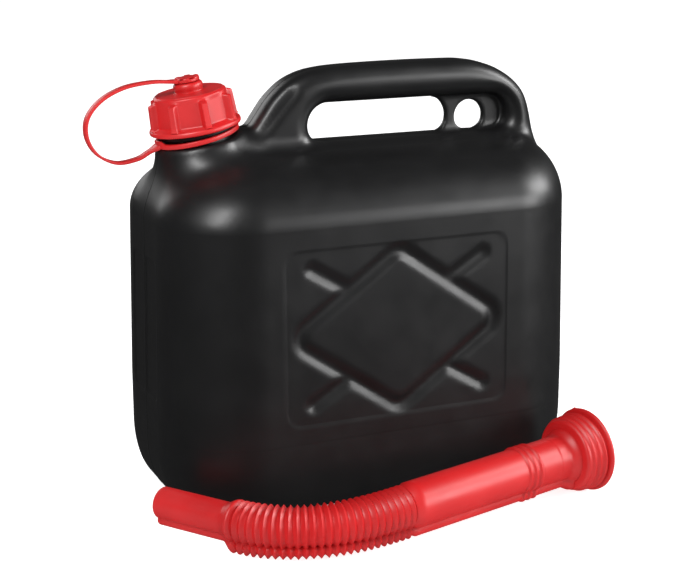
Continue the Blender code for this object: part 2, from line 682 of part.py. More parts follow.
def set_origin(piece, point):
    """Moves an object's origin to a point of its own frame and leaves its shape where it is."""
    piece.data.transform(Matrix.Translation(-point))
    piece.matrix_world = piece.matrix_world @ Matrix.Translation(point)


def main():
    for old in list(bpy.data.objects):
        bpy.data.objects.remove(old)
    neck = Matrix.Translation(NECK_AT) @ Matrix.Rotation(-NECK_TILT, 4, "Y")
    can(neck)
    cap(neck)
    cap_seal(neck)
    strap(neck)
    spout = (Matrix.Translation(SPOUT_AT) @ Matrix.Rotation(SPOUT_HEADING, 4, "Z")
             @ Matrix.Rotation(SPOUT_SLOPE, 4, "Y"))
    spout_collar(spout)
    spout_seal(spout)
    pivots = hinge_points()
    for index in range(BELLOWS_PIECES):
        set_origin(bellows_piece(index, spout), pivots[index])
    set_origin(spout_nozzle(spout), pivots[-1])


main()
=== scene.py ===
"""The looks of a five litre jerry can: its blow-moulded shell, screw cap, strap and pouring spout.

Shapes are worked out in millimetres, in the same frame as the solids: origin in the middle of the
base, +Z up, the spout lying on the -Y side. make_mesh turns them into metres.
"""

from math import acos, asin, cos, pi, radians, sin

import bmesh
import bpy
import numpy as np
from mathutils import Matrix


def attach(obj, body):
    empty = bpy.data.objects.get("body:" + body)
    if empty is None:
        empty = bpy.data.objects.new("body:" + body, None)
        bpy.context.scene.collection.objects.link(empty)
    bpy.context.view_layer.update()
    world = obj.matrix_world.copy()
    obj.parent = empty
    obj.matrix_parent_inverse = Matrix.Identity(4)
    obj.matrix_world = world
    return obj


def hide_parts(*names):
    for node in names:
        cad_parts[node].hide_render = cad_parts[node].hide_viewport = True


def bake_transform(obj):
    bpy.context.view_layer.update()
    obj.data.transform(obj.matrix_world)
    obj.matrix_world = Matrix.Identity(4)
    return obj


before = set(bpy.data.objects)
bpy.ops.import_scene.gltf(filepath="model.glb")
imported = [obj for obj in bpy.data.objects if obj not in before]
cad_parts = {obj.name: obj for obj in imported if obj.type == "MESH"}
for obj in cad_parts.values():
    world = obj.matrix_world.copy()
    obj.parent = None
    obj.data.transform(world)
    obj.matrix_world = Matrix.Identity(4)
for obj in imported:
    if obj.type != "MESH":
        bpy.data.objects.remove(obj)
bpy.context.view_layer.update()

import openvdb
from mathutils import Matrix, Vector

# ---------------------------------------------------------------- sizes, in millimetres

# Can
HALF_LENGTH = 132.5
HALF_WIDTH = 73.5
CORNER = 52
DRAFT = 0.02
DRAFT_START = 65.5
BOTTOM_HEIGHT = 35
BOTTOM_INSET = 14
BOTTOM_INSET_Y = 8  # on the two long sides
BOTTOM_BLEND_X = 75
BOTTOM_BLEND_LENGTH = 50
BASE_RECESS_HALF = (100, 43)
BASE_RECESS_CORNER = 30
BASE_RECESS_DEPTH = 2.2
BASE_RECESS_EDGE = 9
BASE_RECESS_BELOW = 20
SHOULDER_Z = 167.5
ROOF_Z = 203.7
ROOF_LEFT_X = -75
ROOF_RIGHT_X = 108.5
ROOF_HALF_WIDTH = 15
ROOF_CORNER = 0.96 * ROOF_HALF_WIDTH

HANDLE_HALF_WIDTH = 15.0
HANDLE_ROUNDING = 10.2
HANDLE_BLEND = 9
HANDLE_OUTLINE = (
    (-92, 193.5), (-79, 211), (-71, 214.9), (-66, 217.5), (-61, 224.1), (-54, 233.5), (-44.5, 242),
    (-35, 246.9), (-24, 249.7), (-6, 251.2), (30, 251.8), (62, 251.6), (76, 251), (87, 248.9),
    (98, 244.7), (109, 237.7), (117.5, 227.5), (122.6, 210.5), (125.4, 191.5), (124, 177.5),
    (115, 166), (-60, 165.5),
)
OPENING_Z = 216.7
OPENING_RADIUS = 13
OPENING_LEFT_X = -17
OPENING_EDGE = 1
GRIP_RIGHT_X = 52.3
POCKET_RIGHT_X = 91.5
WEB_HALF_THICKNESS = 2.2
WEB_ROUNDING = 0.9
WEB_LEFT_X = 56
WEB_OVERLAP = 4
WEB_BLEND = 3.0
HOLE = (81.3, 215.5)
HOLE_RADIUS = 10.2
FLUTE_LINE = ((-61, 220.5), (-45, 238.5))
FLUTE_FLAT = 2.0
FLUTE_Y = 17.2
FLUTE_RADIUS = 4.2
FLUTE_BLEND = 3.5

PANEL_HALF_LENGTH = 71
PANEL_LOW_Z = 53.5
PANEL_HIGH_Z = 156.5
PANEL_CORNER = 9
PANEL_STEP = 0.24
PANEL_EDGE = 1.1
DIAMOND_Z = 105.5
DIAMOND_HALF = (53.0, 37.0)
DIAMOND_ROUND = 9
GROOVE_HALF_WIDTH = 6.4
GROOVE_DEPTH = 1.8
STUB_INNER = (34.0, 27.5)
STUB_OUTER = (54.5, 40.0)
STUB_BLEND = 2.5
PATTERN_FROM_Y = 55

END_PANEL_NEAR_Y = 1.6
END_PANEL_FAR_Y = 22
END_PANEL_LOW_Z = 62.5
END_PANEL_HIGH_Z = 145.5
END_PANEL_CORNER = 4
END_PANEL_DEPTH = 0.55
END_PANEL_EDGE = 0.9
END_PATTERN_FROM_X = 118
END_PATTERN_FADE = 6
PARTING_LINES_Z = (42.5, 167.5)
PARTING_LINE_DEPTH = 0.05
PARTING_LINE_HALF_WIDTH = 0.5
SEAM_HEIGHT = 0.22
SEAM_HALF_WIDTH = 0.45
DIAL_AT = (-8, 45.5)
DIAL_RADIUS = 6.5
DIAL_DEPTH = 0.4
DIAL_LINE = 0.8

# Neck: heights along its axis are counted from the foot of the thread
NECK_AT = (-97.7, 0.0, 220.2)
NECK_TILT = radians(9.4)
TURRET_TOP = -8.2
TURRET_BOTTOM = -48
TURRET_RADIUS = 25.2
TURRET_FLARE = 0.19
TURRET_FLARE_LOSS = 0.0016
TURRET_FLARE_SPAN = (-5, 45)
TURRET_EDGE = 2.5
TURRET_BLEND = 13
BORE_RADIUS = 15.0
BORE_DEPTH = -58
BORE_WIDENS_FROM = -13
BORE_WIDENING = 9.5
BORE_WIDENING_LENGTH = 12
MOUTH_EDGE = 1.2

TEETH = 8
TEETH_LOW = -5.0
TOOTH_REACH = 2.1
TOOTH_HALF_ANGLE = 0.075
COLLAR_RADIUS = 19.8
NECK_RADIUS = 16.8
CAP_BORE = 18.8
LEAD = 5.0
THREAD_TURNS = 1.5
THREAD_START = 4.0
THREAD_HALF_FOOT = 1.05
THREAD_FLANK = 0.55
THREAD_RUN_OUT = 0.08
NECK_THREAD = 1.4
CAP_THREAD = 1.5
COLLAR_THREAD = 1.2

# Cap: eight flats with a grip ridge between each two
CAP_SECTOR = radians(45)
RIDGE_HALF = radians(6.6)
RIDGE_FLANK = radians(3.2)
RIDGE_RADIUS = 26.3
RIDGE_DRAFT = 1.1
FLAT_APOTHEM = 21.6
FLAT_DRAFT = 0.8
SKIRT_FOOT = 2.2
SKIRT_LENGTH = 18.3

# Strap
RING_TILT = 0.062
RING_LIP = 2.0
BAND_HALF_WIDTH = 3.25
BAND_HALF_THICKNESS = 0.85
# The band's line in the plane y = 0, from the knob's ring to the neck's ring
BAND_LINE = (
    (-108.5, 246.2), (-113, 246.3), (-124, 246.6), (-139.6, 244.3), (-153.0, 238.0), (-161.4, 228.3),
    (-162.2, 217.0), (-156.4, 207.0), (-145.5, 201.6), (-133.5, 202.9), (-126.5, 206.3), (-119.7, 209.8),
)

# Spout: distances along it are counted from the mouth of its collar towards the nozzle
SPOUT_AT = (110.2, -104.5, 25.0)
SPOUT_HEADING = radians(191.3)
SPOUT_SLOPE = radians(1.85)
VENT_LEAN = radians(12)
COLLAR_BORE = 19.2
COLLAR_WALL = 21.4
FLANGE_NUBS = (radians(100), radians(165))
FLANGE_NUB_HEIGHT = 0.9
TUBE_END = 137.2
TUBE_RADIUS = 13.2
VENT_RADIUS = 4.2
VENT_OFFSET = 13.6
MAIN_STEPS = 48
VENT_STEPS = 28
VENT_SEAM_AT = radians(105)
VENT_SEAM_SPREAD = radians(5)
TUBE_RING_AT = 47.0
TUBE_RING_PITCH = 4.2
BELLOWS_LENGTH = 98.0
BELLOWS_PIECES = 5
FOLDS_PER_PIECE = 5
FOLD_STEPS = 8
FOLD_DEPTH = 1.9
VALLEY = 0.3
VENT_FOLD_DEPTH = 2.0
CREST_START = 12.7
CREST_END = 11.9
VENT_CREST = 5.2
BELLOWS_VENT_OFFSET = 12.75
BELLOWS_BORE = CREST_END - FOLD_DEPTH - 1.2
BELLOWS_VENT_BORE = 1.6
BEND_TOTAL = radians(67.7)
BEND_POWER = 1.56
CENTRELINE_STEP = 0.1
NOZZLE_LENGTH = 54.7
NOZZLE_RADIUS = 9.1
NOZZLE_VENT_RADIUS = 3.4
NOZZLE_VENT_OFFSET = 9.4

# Grid that the can is skinned from, and the tables that stand in for its slow functions
GRID_STEP = 2.0
FINE_STEP = 0.5
FINE_REACH = 1.4
GRID_X = 137
GRID_Y = 78
GRID_Z = (-4, 258)
FIELD_LIMIT = 6.0
SNAP_ROUNDS = 3
SNAP_LIMIT = 0.6
LEAST_FIELD_SLOPE = 0.25
PLAN_TABLE = ((-140, 0), (140, 80), 1.0)
SIDE_TABLE = ((-140, 140), (140, 262), 0.5)
SHARE_LIMIT = 3.0
HALVINGS = 26
LEAST_SHARE_SLOPE = 0.004

# ---------------------------------------------------------------- looks, light and camera, in metres

# The two colours that each plastic varies between
BLACK = ((0.0036, 0.0036, 0.0038), (0.0052, 0.0052, 0.0055))
RED = ((0.38, 0.004, 0.005), (0.44, 0.007, 0.008))

# World strength that pieces see in diffuse and in mirrored light
DIFFUSE_LEVEL = 0.42
GLOSSY_LEVEL = 0.04

# Each area light's name, place, target, size and power in watts
LIGHTS = (
    ("left_top", (-0.86, -0.71, 1.08), (-0.08, -0.05, 0.15), (0.26, 1.0), 20),
    ("front_right", (1.42, -1.50, 0.58), (0, 0, 0.12), (1.1, 0.8), 27),
    ("right", (1.50, -0.50, 0.98), (0, 0, 0.15), (0.6, 0.7), 26),
    ("back", (-0.6, 1.9, 0.8), (0, 0, 0.12), (1.2, 0.8), 8),
)

FLOOR_SIZE = 12
FLOOR_Z = -0.0005
FLOOR_GLOW = 0.85

CAMERA_HEADING = radians(24.1)
CAMERA_PITCH = radians(14.0)
CAMERA_DISTANCE = 0.9626
CAMERA_TARGET = (0, 0, 0.1255)
CAMERA_LENS = 79.8
CAMERA_SHIFT = (0.0017, -0.0329)


# ---------------------------------------------------------------- meshes

def make_mesh(name, points, faces, sharp=None, placement=None):
    """An object from points in millimetres and faces as index rows, smooth apart from its sharp edges."""
    mesh = bpy.data.meshes.new(name)
    if isinstance(faces, np.ndarray):
        faces = faces.tolist()
    mesh.from_pydata((np.asarray(points, float) * 0.001).tolist(), [], faces)
    if placement is not None:
        mesh.transform(placement)
    mesh.validate()
    mesh.shade_smooth()
    if sharp:
        mesh.set_sharp_from_angle(angle=radians(sharp))
    made = bpy.data.objects.new(name, mesh)
    bpy.context.scene.collection.objects.link(made)
    return made


def smoothstep(value):
    value = np.clip(value, 0, 1)
    return value * value * (3 - 2 * value)


def smooth_min(a, b, width):
    """The lower of two distances, with the corner between them rounded over this width."""
    share = np.clip(0.5 + 0.5 * (b - a) / width, 0, 1)
    return b + (a - b) * share - width * share * (1 - share)


def smooth_max(a, b, width):
    return -smooth_min(-a, -b, width)


def rounded_rect(x, y, half_x, half_y, corner):
    """Signed distance to a rectangle with rounded corners, negative inside."""
    over_x = np.abs(x) - (half_x - corner)
    over_y = np.abs(y) - (half_y - corner)
    outside = np.hypot(np.maximum(over_x, 0), np.maximum(over_y, 0))
    return outside + np.minimum(np.maximum(over_x, over_y), 0) - corner


def segment_distance(x, y, a, b):
    """Distance to the straight line from a to b."""
    along_x, along_y = b[0] - a[0], b[1] - a[1]
    share = np.clip(((x - a[0]) * along_x + (y - a[1]) * along_y) / (along_x ** 2 + along_y ** 2), 0, 1)
    return np.hypot(x - a[0] - share * along_x, y - a[1] - share * along_y)


def extruded(outline, across, half_width, rounding):
    """A plate of that half width, whose outline distance is given, with rounded edges."""
    over_a = outline + rounding
    over_b = np.abs(across) - (half_width - rounding)
    outside = np.hypot(np.maximum(over_a, 0), np.maximum(over_b, 0))
    return outside + np.minimum(np.maximum(over_a, over_b), 0) - rounding


def table_of(function, low, high, step):
    """A fast stand-in for a function of two coordinates, sampled once on a fine grid."""
    first = np.arange(low[0], high[0] + step, step)
    second = np.arange(low[1], high[1] + step, step)
    values = function(*np.meshgrid(first, second, indexing="ij"))

    def sample(a, b):
        u = np.clip((a - low[0]) / step, 0, len(first) - 1.001)
        v = np.clip((b - low[1]) / step, 0, len(second) - 1.001)
        i, j = u.astype(int), v.astype(int)
        s, t = u - i, v - j
        return ((values[i, j] * (1 - s) + values[i + 1, j] * s) * (1 - t)
                + (values[i, j + 1] * (1 - s) + values[i + 1, j + 1] * s) * t)
    return sample


def spline_points(before, points, after, second, steps):
    """Points on the Catmull-Rom lines from each point to the one after it."""
    return [0.5 * (2 * b + (c - a) * t + (2 * a - 5 * b + 4 * c - d) * t * t
                   + (3 * b - a - 3 * c + d) * t ** 3)
            for a, b, c, d in zip(before, points, after, second) for t in np.arange(steps) / steps]


def smooth_loop(points, steps=8):
    """Points on a closed smooth line through the given ones."""
    points = np.array(points, float)
    return np.array(spline_points(np.roll(points, 1, 0), points, np.roll(points, -1, 0),
                                  np.roll(points, -2, 0), steps))


def smooth_line(points, steps):
    """Points on an open smooth line through the given ones."""
    points = np.array(points, float)
    points = np.concatenate([[2 * points[0] - points[1]], points, [2 * points[-1] - points[-2]]])
    line = spline_points(points, points[1:], points[2:], points[3:], steps)
    return np.array(line + [points[-2]])


def loop_distance(points):
    """A function that gives the signed distance to a closed line, negative inside."""
    def distance(x, z):
        best = np.full(x.shape, 1e9)
        inside = np.zeros(x.shape, bool)
        for a, b in zip(points, np.roll(points, -1, 0)):
            best = np.minimum(best, segment_distance(x, z, a, b))
            crosses = (a[1] > z) != (b[1] > z)
            if a[1] != b[1]:
                inside ^= crosses & (x < a[0] + (b[0] - a[0]) * (z - a[1]) / (b[1] - a[1]))
        return np.where(inside, -best, best)
    return distance


# ---------------------------------------------------------------- can

def shoulder_share(x, y):
    """How far a point in plan lies between the edge of the narrow roof, 0, and the can's wall, 1."""
    lean = DRAFT * (SHOULDER_Z - DRAFT_START)
    low, high = np.zeros(x.shape), np.full(x.shape, SHARE_LIMIT)
    for _ in range(HALVINGS):
        share = (low + high) / 2
        left = ROOF_LEFT_X + (-HALF_LENGTH + lean - ROOF_LEFT_X) * share
        right = ROOF_RIGHT_X + (HALF_LENGTH - lean - ROOF_RIGHT_X) * share
        half_y = ROOF_HALF_WIDTH + (HALF_WIDTH - lean - ROOF_HALF_WIDTH) * share
        corner = ROOF_CORNER + (CORNER - lean - ROOF_CORNER) * share
        inside = rounded_rect(x - (left + right) / 2, y, (right - left) / 2, half_y, corner) < 0
        high = np.where(inside, share, high)
        low = np.where(inside, low, share)
    return (low + high) / 2


def rounded_over(u, v, u_size, v_size):
    """Distance to a quarter ellipse, from its normalised coordinates and their lengths."""
    reach = np.maximum(np.hypot(u, v), 1e-6)
    return (reach - 1) * reach / np.maximum(np.hypot(u / u_size, v / v_size), 1e-6)


def shoulder_slope(x, y, step=0.5):
    """How much the shoulder's share grows over a millimetre, kept away from zero."""
    slope = np.hypot(shoulder_share(x + step, y) - shoulder_share(x - step, y),
                     shoulder_share(x, y + step) - shoulder_share(x, y - step)) / (2 * step)
    return np.maximum(slope, LEAST_SHARE_SLOPE)


share_table = table_of(shoulder_share, *PLAN_TABLE)
slope_table = table_of(shoulder_slope, *PLAN_TABLE)
outline_table = table_of(loop_distance(smooth_loop(HANDLE_OUTLINE)), *SIDE_TABLE)


def block(x, y, z):
    """The can's body: rounded into its base, leaning walls, and shoulders that close to a narrow roof."""
    lean = DRAFT * np.clip(z - DRAFT_START, 0, None)
    wall = rounded_rect(x, y, HALF_LENGTH, HALF_WIDTH, CORNER) + lean
    to_end = smoothstep((np.abs(x) - BOTTOM_BLEND_X) / BOTTOM_BLEND_LENGTH)
    inset = BOTTOM_INSET_Y + (BOTTOM_INSET - BOTTOM_INSET_Y) * to_end
    low = rounded_over(np.maximum((wall + inset) / inset, 0),
                       np.maximum((BOTTOM_HEIGHT - z) / BOTTOM_HEIGHT, 0), inset, BOTTOM_HEIGHT)
    share = share_table(x, np.abs(y))
    height = ROOF_Z - SHOULDER_Z
    high = rounded_over(share, np.maximum((z - SHOULDER_Z) / height, 0),
                        1 / slope_table(x, np.abs(y)), height)
    inside = -rounded_rect(x, y, *BASE_RECESS_HALF, BASE_RECESS_CORNER)
    recess = BASE_RECESS_DEPTH * smoothstep(inside / BASE_RECESS_EDGE) * (z < BASE_RECESS_BELOW)
    return np.where(z < SHOULDER_Z, low + recess, high)


def stadium(x, z, left, right):
    """Signed distance to the long round-ended opening in the handle, from left to right."""
    return segment_distance(x, z, (left, OPENING_Z), (right, OPENING_Z)) - OPENING_RADIUS


def handle(x, y, z):
    """The handle's frame with its opening, and the thin web that carries the hanging hole."""
    opening = stadium(x, z, OPENING_LEFT_X, POCKET_RIGHT_X)
    outline = smooth_max(outline_table(x, z), -opening, OPENING_EDGE)
    bar = extruded(outline, y, HANDLE_HALF_WIDTH, HANDLE_ROUNDING)
    hole = np.hypot(x - HOLE[0], z - HOLE[1]) - HOLE_RADIUS
    web = np.maximum(opening - WEB_OVERLAP, -stadium(x, z, OPENING_LEFT_X, GRIP_RIGHT_X))
    web = np.maximum(np.maximum(web, -hole), WEB_LEFT_X - x)
    return smooth_min(bar, extruded(web, y, WEB_HALF_THICKNESS, WEB_ROUNDING), WEB_BLEND)


def neck_coordinates(x, y, z):
    """Distance from the neck's axis, and height along it."""
    dx, dz = x - NECK_AT[0], z - NECK_AT[2]
    height = -sin(NECK_TILT) * dx + cos(NECK_TILT) * dz
    across = cos(NECK_TILT) * dx + sin(NECK_TILT) * dz
    return np.hypot(across, y), height


def pressed_pattern(x, z):
    """Depth of the panel, the diamond and its four short grooves in the front and the back."""
    middle = (PANEL_LOW_Z + PANEL_HIGH_Z) / 2
    panel = rounded_rect(x, z - middle, PANEL_HALF_LENGTH, PANEL_HIGH_Z - middle, PANEL_CORNER)
    depth = PANEL_STEP * smoothstep(0.5 - panel / PANEL_EDGE)
    a = np.abs(x), np.abs(z - DIAMOND_Z)
    edge = segment_distance(*a, (DIAMOND_HALF[0], 0), (0, DIAMOND_HALF[1]))
    inside = a[0] / DIAMOND_HALF[0] + a[1] / DIAMOND_HALF[1] < 1
    diamond = np.abs(np.where(inside, -edge, edge) - DIAMOND_ROUND)
    stub = segment_distance(*a, STUB_INNER, STUB_OUTER)
    grooves = smooth_min(diamond, stub, STUB_BLEND)
    return depth + GROOVE_DEPTH * smoothstep(1.0 - grooves / GROOVE_HALF_WIDTH)


def end_pattern(y, z):
    """Depth of the two tall panels on either side of the parting line, on both ends."""
    middle_y = (END_PANEL_NEAR_Y + END_PANEL_FAR_Y) / 2
    middle_z = (END_PANEL_LOW_Z + END_PANEL_HIGH_Z) / 2
    panel = rounded_rect(np.abs(y) - middle_y, z - middle_z, END_PANEL_FAR_Y - middle_y,
                         END_PANEL_HIGH_Z - middle_z, END_PANEL_CORNER)
    dial = np.abs(np.hypot(y - DIAL_AT[0], z - DIAL_AT[1]) - DIAL_RADIUS)
    return (END_PANEL_DEPTH * smoothstep(0.5 - panel / END_PANEL_EDGE)
            + DIAL_DEPTH * smoothstep(0.5 - dial / DIAL_LINE))


def turret(radius, height):
    """The round turret under the neck, which widens downwards."""
    down = np.clip(TURRET_TOP - height, *TURRET_FLARE_SPAN)
    wall = radius - (TURRET_RADIUS + TURRET_FLARE * down - TURRET_FLARE_LOSS * down ** 2)
    return np.maximum(smooth_max(wall, height - TURRET_TOP, TURRET_EDGE), TURRET_BOTTOM - height)


def flutes(x, y, z):
    """The hollow along each edge of the handle's front leg."""
    along = segment_distance(x, z, *FLUTE_LINE) - FLUTE_FLAT
    return np.hypot(np.maximum(along, 0), np.abs(y) - FLUTE_Y) - FLUTE_RADIUS


def can_field(x, y, z):
    """Signed distance to the can's outside and to the bore of its neck, negative in the plastic."""
    radius, height = neck_coordinates(x, y, z)
    field = smooth_min(block(x, y, z), turret(radius, height), TURRET_BLEND)
    field = smooth_min(field, handle(x, y, z), HANDLE_BLEND)
    field = smooth_max(field, -flutes(x, y, z), FLUTE_BLEND)
    field = field + pressed_pattern(x, z) * (np.abs(y) > PATTERN_FROM_Y)
    field = field + end_pattern(y, z) * smoothstep((np.abs(x) - END_PATTERN_FROM_X) / END_PATTERN_FADE)
    for line_z in PARTING_LINES_Z:
        field = field + PARTING_LINE_DEPTH * np.exp(-((z - line_z) / PARTING_LINE_HALF_WIDTH) ** 2)
    field = field - SEAM_HEIGHT * np.exp(-(y / SEAM_HALF_WIDTH) ** 2)
    widening = BORE_WIDENING * smoothstep((BORE_WIDENS_FROM - height) / BORE_WIDENING_LENGTH)
    well = np.maximum(radius - BORE_RADIUS - widening, BORE_DEPTH - height)
    return smooth_max(field, -well, MOUTH_EDGE)


def axis_points(low, high, fine_at):
    """Grid lines that come closer together where the surface has fine lines."""
    points = [low]
    while points[-1] < high:
        near = any(abs(points[-1] - place) < FINE_REACH for place in fine_at)
        points.append(points[-1] + (FINE_STEP if near else GRID_STEP))
    return np.array(points)


def field_slope(x, y, z, step=0.1):
    """The way in which the can's field grows fastest, and how fast."""
    return np.stack([can_field(x + step, y, z) - can_field(x - step, y, z),
                     can_field(x, y + step, z) - can_field(x, y - step, z),
                     can_field(x, y, z + step) - can_field(x, y, z - step)], 1) / (2 * step)


def can():
    """The can's skin: the zero surface of its field, with every point moved onto it exactly."""
    half = axis_points(0, GRID_Y, (0, END_PANEL_NEAR_Y, END_PANEL_FAR_Y))
    level_lines = (*PARTING_LINES_Z, PANEL_LOW_Z, END_PANEL_LOW_Z, END_PANEL_HIGH_Z, PANEL_HIGH_Z)
    axes = (axis_points(-GRID_X, GRID_X, (-PANEL_HALF_LENGTH, PANEL_HALF_LENGTH)),
            np.concatenate([-half[:0:-1], half]), axis_points(*GRID_Z, level_lines))
    x, y, z = np.meshgrid(*axes, indexing="ij")
    values = np.clip(can_field(x, y, z), -FIELD_LIMIT, FIELD_LIMIT)
    grid = openvdb.FloatGrid(FIELD_LIMIT)
    grid.copyFromArray(values.astype(np.float32))
    points, quads = grid.convertToQuads(0.0)
    points = np.stack([np.interp(points[:, i], np.arange(len(axes[i])), axes[i]) for i in range(3)], 1)
    for _ in range(SNAP_ROUNDS):
        slope = field_slope(*points.T)
        distance = np.clip(can_field(*points.T), -SNAP_LIMIT, SNAP_LIMIT)
        points -= slope * (distance / np.maximum((slope ** 2).sum(1), LEAST_FIELD_SLOPE))[:, None]
    corner = points[quads]
    normal = np.cross(corner[:, 2] - corner[:, 0], corner[:, 3] - corner[:, 1])
    outward = (normal * field_slope(*corner.mean(1).T)).sum()
    return make_mesh("can_skin", points, quads if outward > 0 else quads[:, ::-1])


# ---------------------------------------------------------------- turned and swept pieces

def ring_mesh(name, rings, closed=False, sharp=35, placement=None):
    """Skins over rings of points (ring, point, 3), capped at both ends, or joined end to start if closed."""
    rings = np.asarray(rings, float)
    count, around = rings.shape[:2]
    index = np.arange(count * around).reshape(count, around)
    low = index if closed else index[:-1]
    high = np.roll(index, -1, 0) if closed else index[1:]
    faces = np.stack([low, np.roll(low, -1, 1), np.roll(high, -1, 1), high], 2).reshape(-1, 4).tolist()
    if not closed:
        faces += [index[0][::-1].tolist(), index[-1].tolist()]
    piece = make_mesh(name, rings.reshape(-1, 3), faces, sharp, placement)
    turn_faces_outwards(piece.data)
    return piece


def turn_faces_outwards(mesh):
    shell = bmesh.new()
    shell.from_mesh(mesh)
    bmesh.ops.recalc_face_normals(shell, faces=shell.faces)
    shell.to_mesh(mesh)
    shell.free()


def turned_rings(profile, angles, radius_at=None):
    """Rings of a turned piece. radius_at may change a ring's radius: it is given radius, height, angles."""
    rings = []
    for radius, height in profile:
        around = radius_at(radius, height, angles) if radius_at else np.full(len(angles), radius)
        level = np.full(len(angles), height)
        rings.append(np.stack([around * np.cos(angles), around * np.sin(angles), level], 1))
    return np.array(rings)


def even_angles(count):
    return np.arange(count) * 2 * pi / count


def neck_frame():
    """Places a piece that is turned about z on the neck's leaning axis."""
    return Matrix.Translation(Vector(NECK_AT) * 0.001) @ Matrix.Rotation(-NECK_TILT, 4, "Y")


def thread_share(height, angles, shift):
    """How far the thread stands out here, 0 to 1: the same helix on the neck and in the cap."""
    share = np.zeros(len(angles))
    for turn in (0, 1):
        turns = np.mod(angles, 2 * pi) / (2 * pi) + turn
        fade = smoothstep(np.minimum(turns, THREAD_TURNS - turns) / THREAD_RUN_OUT)
        off = np.abs(height - THREAD_START - shift - LEAD * turns)
        share = np.maximum(share, fade * np.clip((THREAD_HALF_FOOT - off) / THREAD_FLANK, 0, 1))
    return share


# ---------------------------------------------------------------- neck, cap and strap

def neck():
    """The threaded neck with its bead and the eight teeth under it."""
    def radius_at(radius, height, angles):
        if radius == NECK_RADIUS and 1 < height < 14.5:
            return radius + NECK_THREAD * thread_share(height, angles, 0)
        if radius == COLLAR_RADIUS and height < -4.05:
            off = np.abs(np.mod(angles + pi / TEETH, 2 * pi / TEETH) - pi / TEETH)
            reach = smoothstep((height - TEETH_LOW) / 0.4) * TOOTH_REACH
            return radius + reach * (off < TOOTH_HALF_ANGLE)
        return np.full(len(angles), radius)

    profile = [(BORE_RADIUS, -14), (COLLAR_RADIUS, -14)]
    profile += [(COLLAR_RADIUS, height) for height in (-5.05, -5.0, -4.8, -4.6, -4.1)]
    profile += [(22.0, -4.05), (22.2, -3.8), (22.2, -2.4), (22.0, -2.2), (NECK_RADIUS + 0.5, -2.15),
                (NECK_RADIUS, -1.6)]
    profile += [(NECK_RADIUS, height) for height in np.arange(1.6, 14.4, 0.35)]
    profile += [(NECK_RADIUS, 15.3), (16.6, 15.8), (16.4, 16.0), (15.4, 16.0), (15.05, 15.8),
                (BORE_RADIUS, 15.4)]
    rings = turned_rings(profile, even_angles(144), radius_at)
    return ring_mesh("can_neck", rings, closed=True, sharp=40, placement=neck_frame())


def cap_angles():
    """Angles round the cap, closer together on the flanks of the ridges."""
    steps = (-6.6, -5.9, -5.3, -4.7, -4.1, -3.4, 0, 3.4, 4.1, 4.7, 5.3, 5.9, 6.6, 10.5, 15, 22.5, 30, 34.5)
    return np.array([radians(45 * sector + step) for sector in range(8) for step in steps])


def off_ridge(angles):
    """Angle to the middle of the nearest grip ridge."""
    return np.abs(np.mod(angles + CAP_SECTOR / 2, CAP_SECTOR) - CAP_SECTOR / 2)


def skirt(apothem, ridge, rounding, angles):
    """Radius of the skirt: flats that give way to a circle as rounding goes to 1, and the ridges."""
    flat = smooth_min(apothem / np.cos(CAP_SECTOR / 2 - off_ridge(angles)),
                      np.full(len(angles), apothem + 1.5), 0.8)
    flat += (apothem + 0.4 - flat) * rounding
    stands = smoothstep((RIDGE_HALF - off_ridge(angles)) / RIDGE_FLANK)
    return flat + (np.maximum(ridge, flat) - flat) * stands


def cap_shell():
    """The skirt's eight flats and eight grip ridges, flange, crown, knob, and the threaded inside."""
    def radius_at(radius, height, angles):
        if radius == CAP_BORE:
            return radius - CAP_THREAD * thread_share(height, angles, LEAD / 2)
        if radius > 0:
            return np.full(len(angles), radius)
        share = (height - SKIRT_FOOT) / SKIRT_LENGTH
        ridge_top = smoothstep((height - 16.3) / 2.2)
        ridge_foot = smoothstep((3.4 - height) / 1.2)
        ridge = RIDGE_RADIUS - RIDGE_DRAFT * share - 5.2 * ridge_top + 0.6 * ridge_foot
        fillet = smoothstep((3.6 - height) / 1.4) ** 2
        crown_edge = smoothstep((height - 19.0) / 1.5) ** 2
        apothem = FLAT_APOTHEM - FLAT_DRAFT * share + 1.6 * fillet - 1.4 * crown_edge
        return skirt(apothem, ridge, smoothstep((height - 16.5) / 3), angles)

    profile = [(1.0, 18.0), (12, 18.0), (18.2, 18.0), (18.7, 17.6)]
    profile += [(CAP_BORE, height) for height in np.arange(17.0, -0.4, -0.4)]
    profile += [(19.0, -0.7), (19.4, -1.05), (20, -1.2), (26.0, -1.2), (26.5, -1.05), (26.8, -0.6),
                (26.9, 0.0), (26.85, 0.6), (26.7, 1.1), (26.45, 1.5), (26.1, 1.8)]
    profile += [(0, height) for height in (2.2, 2.5, 2.9, 3.4, 4, 6, 9, 12, 14.5, 16.3, 16.7, 17.1, 17.5,
                                           17.9, 18.5, 19.0, 19.4, 19.8, 20.1, 20.35, 20.5)]
    profile += [(17.5, 20.5), (9.6, 20.5), (8.7, 20.6), (8.3, 20.85), (8.2, 21.3), (8.35, 22.0), (8.55, 22.8),
                (8.65, 23.6), (8.6, 24.4), (8.3, 25.2), (7.6, 25.85), (6.3, 26.1), (4.5, 26.15),
                (4.4, 26.3), (4.4, 28.0), (4.6, 28.2), (5.2, 28.3), (5.4, 28.5), (5.1, 28.8), (4.4, 28.9),
                (1.0, 28.95)]
    rings = turned_rings(profile, cap_angles(), radius_at)
    return ring_mesh("cap_shell_moulded", rings, sharp=40, placement=neck_frame())


